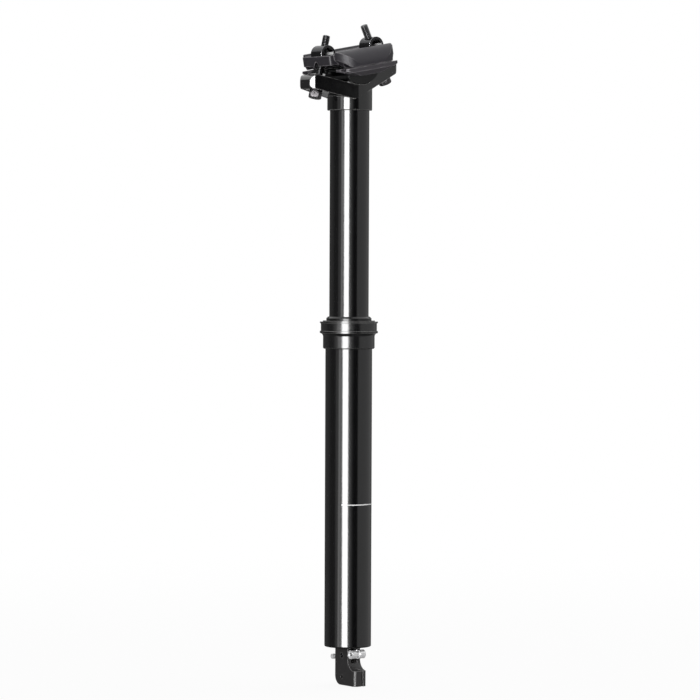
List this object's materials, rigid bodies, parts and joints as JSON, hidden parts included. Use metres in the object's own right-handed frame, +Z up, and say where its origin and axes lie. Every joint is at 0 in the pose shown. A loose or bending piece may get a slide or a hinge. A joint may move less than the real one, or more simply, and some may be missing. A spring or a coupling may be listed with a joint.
{
  "type": "dropper seatpost",
  "caption": "Dropper seatpost: a two-bolt rail clamp on a sliding tube in a lower tube, with a cable-pulled release lever.",
  "frame": {"origin": "on the post's axis where the outer tube's sliding fit ends under the collar", "axes": "+X to the front of the bicycle, +Y to its left, +Z up along the post"},
  "size_m": [0.0695, 0.056, 0.4363],
  "materials": {
    "anodised": "black anodised, satin gloss",
    "forged_black": "bead-blasted black anodised",
    "black_steel": "black oxide",
    "bare_steel": "ground steel",
    "bare_aluminium": "bare machined aluminium",
    "brass": "machined brass",
    "rubber": "moulded nitrile",
    "bearing_plastic": "filled nylon"
  },
  "bodies": {
    "lower_tube": {"outer_tube": "anodised", "seal_collar": "anodised", "wiper_seal": "rubber", "inner_seal": "rubber", "upper_bushing": "bearing_plastic", "top_out_bumper": "rubber", "bottom_cap": "bare_aluminium", "cap_o_ring": "rubber", "cartridge_body": "bare_aluminium", "cartridge_gland": "bare_aluminium", "cartridge_base": "bare_aluminium", "cartridge_lock_nut": "bare_steel", "cable_stop_hook": "forged_black", "bracket_screws": "black_steel", "lever_pivot_pin": "black_steel"},
    "upper_post": {"stanchion_tube": "anodised", "guide_keys": "brass", "lower_guide_ring": "bearing_plastic", "rod_plug": "bare_aluminium", "rod_nut": "bare_steel", "piston_rod": "bare_steel", "piston": "bare_aluminium", "piston_seal": "rubber", "seat_head": "forged_black"},
    "rail_clamp": {"lower_cradle": "forged_black", "upper_clamp": "forged_black"},
    "front_screw": {"front_bolt": "black_steel", "front_bolt_washer": "black_steel"},
    "rear_screw": {"rear_bolt": "black_steel", "rear_bolt_washer": "black_steel"},
    "front_nut": {"front_barrel_nut": "black_steel"},
    "rear_nut": {"rear_barrel_nut": "black_steel"},
    "lever": {"release_lever": "bare_aluminium"},
    "anchor": {"cable_anchor": "bare_steel", "anchor_screw": "black_steel"},
    "valve": {"valve_pin": "bare_steel"}
  },
  "joints": [
    {"name": "post_slide", "type": "slide", "parent": "lower_tube", "child": "upper_post", "axis": [0, 0, -1], "range_m": [0, 0.125], "stiffness_N_per_m": 150, "springref_m": -0.5},
    {"name": "saddle_tilt", "type": "hinge", "parent": "upper_post", "child": "rail_clamp", "pos_m": [0.00086, 0, 0.1895], "axis": [0, 1, 0], "range_deg": [-6, 6]},
    {"name": "front_screw_pivot", "type": "hinge", "parent": "upper_post", "child": "front_screw", "pos_m": [0.02698, 0, 0.16902], "axis": [0, 1, 0], "range_deg": [-0.74, 0.74]},
    {"name": "front_nut_turn", "type": "hinge", "parent": "rail_clamp", "child": "front_nut", "pos_m": [0.02143, 0, 0.19329], "axis": [0, 1, 0], "range_deg": [-6.74, 6.74]},
    {"name": "rear_screw_pivot", "type": "hinge", "parent": "upper_post", "child": "rear_screw", "pos_m": [-0.02689, 0, 0.17946], "axis": [0, 1, 0], "range_deg": [-0.98, 0.98]},
    {"name": "rear_nut_turn", "type": "hinge", "parent": "rail_clamp", "child": "rear_nut", "pos_m": [-0.01718, 0, 0.20009], "axis": [0, 1, 0], "range_deg": [-6.02, 6.02]},
    {"name": "valve_lift", "type": "slide", "parent": "lower_tube", "child": "valve", "axis": [0, 0, 1], "range_m": [0, 0.000379], "stiffness_N_per_m": 50, "springref_m": -0.002},
    {"name": "lever_pull", "type": "hinge", "parent": "lower_tube", "child": "lever", "pos_m": [0, 0.0004, -0.2027], "axis": [-1, 0, 0], "range_deg": [0, 16]},
    {"name": "anchor_turn", "type": "hinge", "parent": "lever", "child": "anchor", "pos_m": [0, 0.0105, -0.20128], "axis": [-1, 0, 0], "range_deg": [-16, 1]}
  ],
  "couplings": [
    {"joint": "front_screw_pivot", "follows": "saddle_tilt", "ratio": -0.04032},
    {"joint": "front_nut_turn", "follows": "saddle_tilt", "ratio": -1.0403},
    {"joint": "rear_screw_pivot", "follows": "saddle_tilt", "ratio": 0.07963},
    {"joint": "rear_nut_turn", "follows": "saddle_tilt", "ratio": -0.92037},
    {"joint": "lever_pull", "follows": "valve_lift", "rad_per_m": 644.71},
    {"joint": "anchor_turn", "follows": "valve_lift", "rad_per_m": -644.71}
  ]
}
